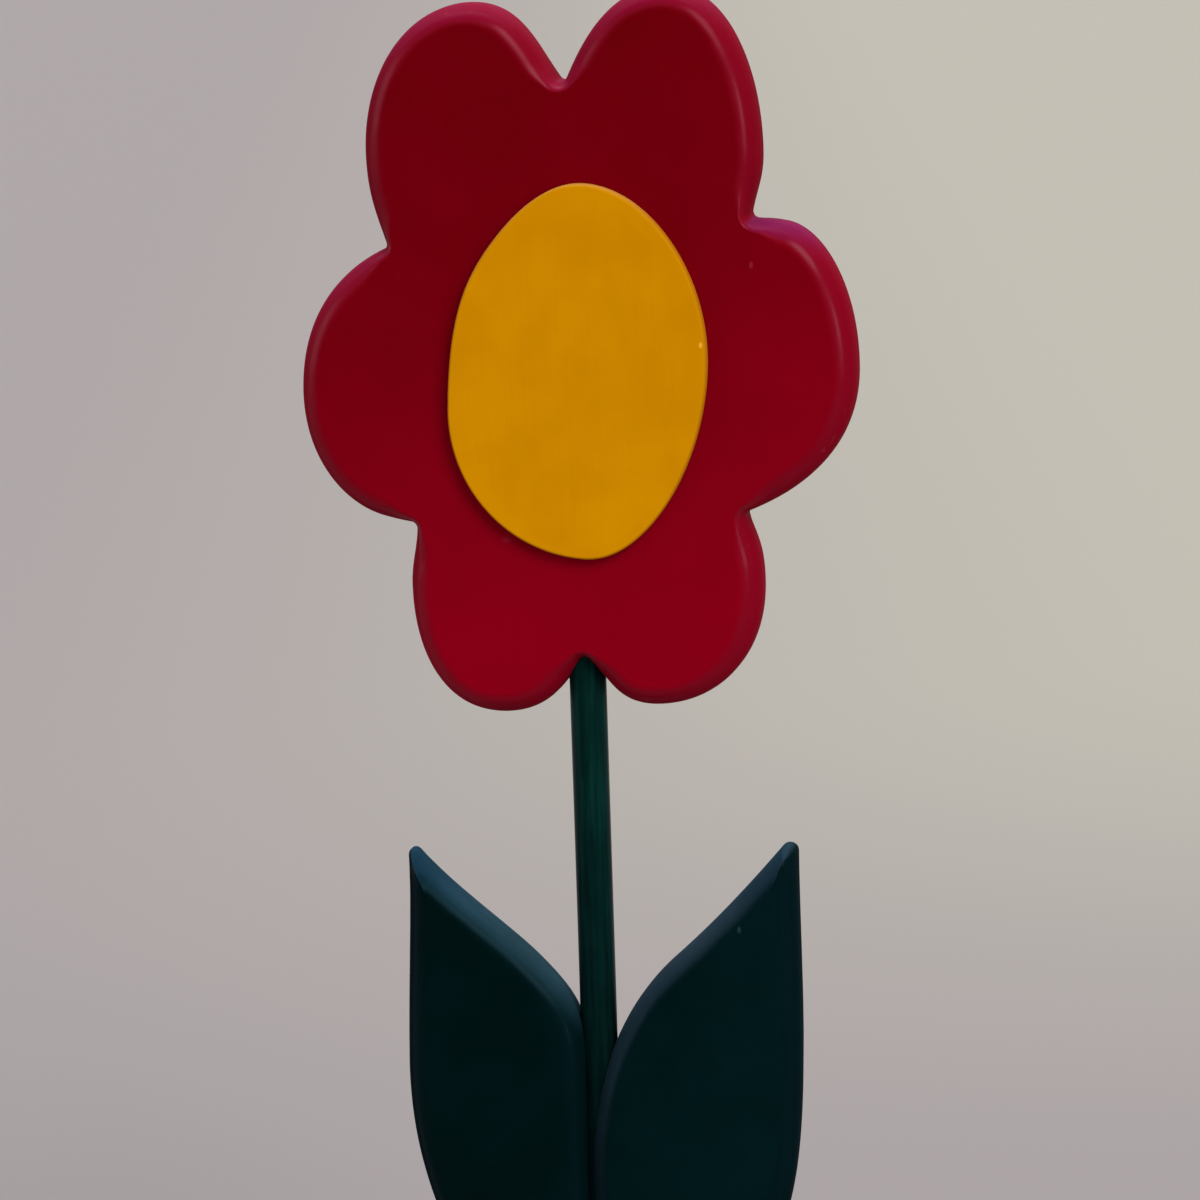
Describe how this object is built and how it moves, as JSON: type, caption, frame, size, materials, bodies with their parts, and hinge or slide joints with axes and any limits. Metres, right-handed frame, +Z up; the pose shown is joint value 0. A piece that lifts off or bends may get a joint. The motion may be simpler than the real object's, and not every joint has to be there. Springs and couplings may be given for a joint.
{
  "type": "painted wooden flower ornament",
  "caption": "Free-standing cut-out wooden flower: a petalled head with an oval centre on a dowel stem, held between two leaves on a foot.",
  "frame": {"origin": "middle of the foot on the surface that it stands on, under the stem's axis", "axes": "+Z up along the stem, -Y towards the viewer in front of the flower's face, +X to the viewer's right"},
  "size_m": [0.121, 0.07, 0.3183],
  "materials": {
    "red_paint": "gloss enamel over sanded wood",
    "yellow_paint": "gloss enamel over sanded wood",
    "stem_green_paint": "gloss enamel over a beech dowel",
    "leaf_green_paint": "gloss enamel over sanded wood",
    "screw_steel": "zinc plated",
    "felt": "pressed felt"
  },
  "bodies": {
    "root": {"flower_head": "red_paint", "flower_centre": "yellow_paint", "stem": "stem_green_paint", "leaf_left": "leaf_green_paint", "leaf_right": "leaf_green_paint", "base": "leaf_green_paint", "leaf_screw_left": "screw_steel", "leaf_screw_right": "screw_steel", "felt_pad_front_left": "felt", "felt_pad_front_right": "felt", "felt_pad_back_left": "felt", "felt_pad_back_right": "felt"}
  },
  "joints": []
}
